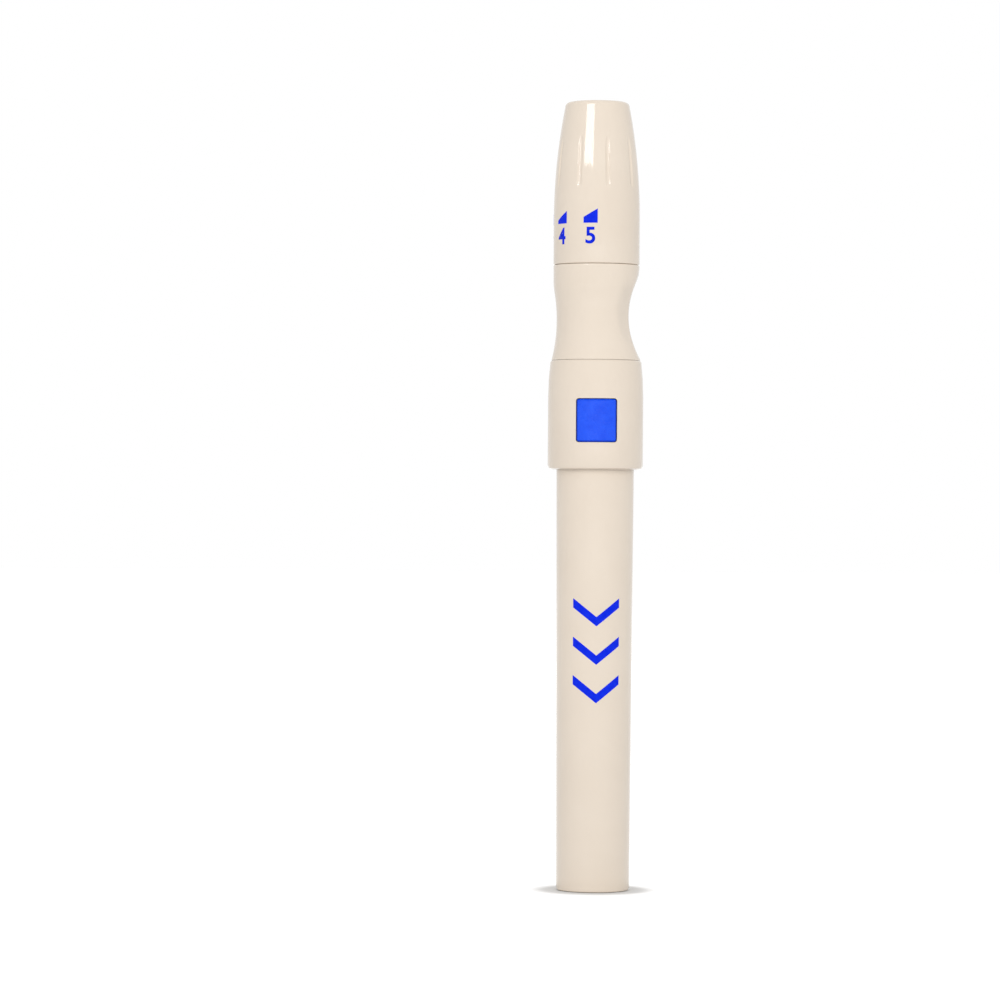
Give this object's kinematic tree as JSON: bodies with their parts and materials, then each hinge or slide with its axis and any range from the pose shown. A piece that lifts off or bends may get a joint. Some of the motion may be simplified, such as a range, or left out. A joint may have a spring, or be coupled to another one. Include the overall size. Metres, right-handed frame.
{
  "type": "lancing device",
  "caption": "Pen-shaped lancing device with a fluted depth dial, scooped pull-off cap, release button in a grip collar and a long tapered cocking sleeve.",
  "frame": {"origin": "centre of the tail's end face, on the pen's axis, where the pen stands", "axes": "+Z along the pen from the tail to the nose, -Y the way the release button faces"},
  "size_m": [0.0156, 0.0156, 0.128],
  "materials": {
    "ivory_plastic": "glossy",
    "blue_plastic": "glossy",
    "white_plastic": "satin",
    "spring_steel": "drawn wire"
  },
  "bodies": {
    "body": {"grip_collar": "ivory_plastic", "inner_barrel": "white_plastic", "rear_bush": "white_plastic", "button_spring": "spring_steel", "drive_spring": "spring_steel", "return_spring": "spring_steel", "sleeve_spring": "spring_steel"},
    "cap": {"cap_neck": "ivory_plastic"},
    "dial": {"depth_dial": "ivory_plastic"},
    "depth_stop": {"depth_stop": "white_plastic"},
    "button": {"release_button": "blue_plastic"},
    "sleeve": {"cocking_sleeve": "ivory_plastic", "pull_tube": "white_plastic", "end_cap": "ivory_plastic"},
    "carrier": {"lancet_carrier": "white_plastic", "tail_plug": "white_plastic"}
  },
  "joints": [
    {"name": "cap_pull", "type": "slide", "parent": "body", "child": "cap", "axis": [0, 0, 1], "range_m": [0, 0.035]},
    {"name": "dial_turn", "type": "hinge", "parent": "cap", "child": "dial", "pos_m": [0, 0, 0.1015], "axis": [0, 0, 1], "range_deg": [0, 180]},
    {"name": "depth_stop_slide", "type": "slide", "parent": "cap", "child": "depth_stop", "axis": [0, 0, 1], "range_m": [-0.0017, 0]},
    {"name": "button_press", "type": "slide", "parent": "body", "child": "button", "axis": [0, 1, 0], "range_m": [0, 0.001], "stiffness_N_per_m": 300, "springref_m": -0.001, "deforming": ["button_spring"]},
    {"name": "sleeve_cock", "type": "slide", "parent": "body", "child": "sleeve", "axis": [0, 0, -1], "range_m": [0, 0.0095], "stiffness_N_per_m": 150, "springref_m": -0.015, "deforming": ["sleeve_spring"]},
    {"name": "carrier_slide", "type": "slide", "parent": "sleeve", "child": "carrier", "axis": [0, 0, 1], "range_m": [-0.006, 0.003], "stiffness_N_per_m": 200, "deforming": ["drive_spring", "return_spring"]}
  ],
  "couplings": [
    {"joint": "depth_stop_slide", "follows": "dial_turn", "m_per_rad": -0.000509}
  ]
}
